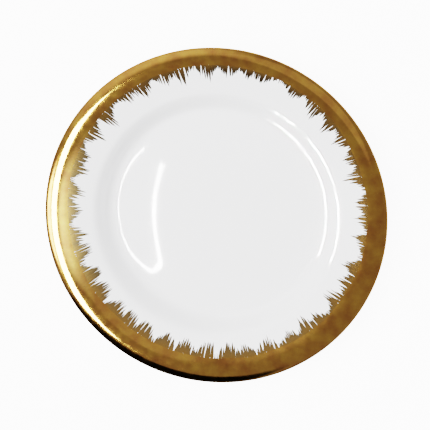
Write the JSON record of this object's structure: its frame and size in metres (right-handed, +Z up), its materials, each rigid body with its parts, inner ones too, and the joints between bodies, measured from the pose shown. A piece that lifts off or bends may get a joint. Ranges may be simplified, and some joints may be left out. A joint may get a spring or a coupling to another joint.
{
  "type": "dinner plate",
  "caption": "Round glazed porcelain dinner plate with a sunken well, a sloping rim, a foot ring underneath and a gilded rim with a brush-stroked inner edge.",
  "frame": {"origin": "middle of the foot ring's resting circle, on the table", "axes": "+Z up through the middle of the well; the plate is round about Z, so +X and +Y are any two radii at right angles"},
  "size_m": [0.27, 0.27, 0.026],
  "materials": {
    "porcelain": "fired, unglazed, smooth matt",
    "glaze": "clear gloss glaze over white porcelain",
    "gold": "bright burnished gold lustre"
  },
  "bodies": {
    "root": {"porcelain_body": "porcelain", "glaze_coat": "glaze", "underside_glaze": "glaze", "gold_band": "gold", "gold_edge_line": "gold", "brush_strokes": "gold"}
  },
  "joints": []
}
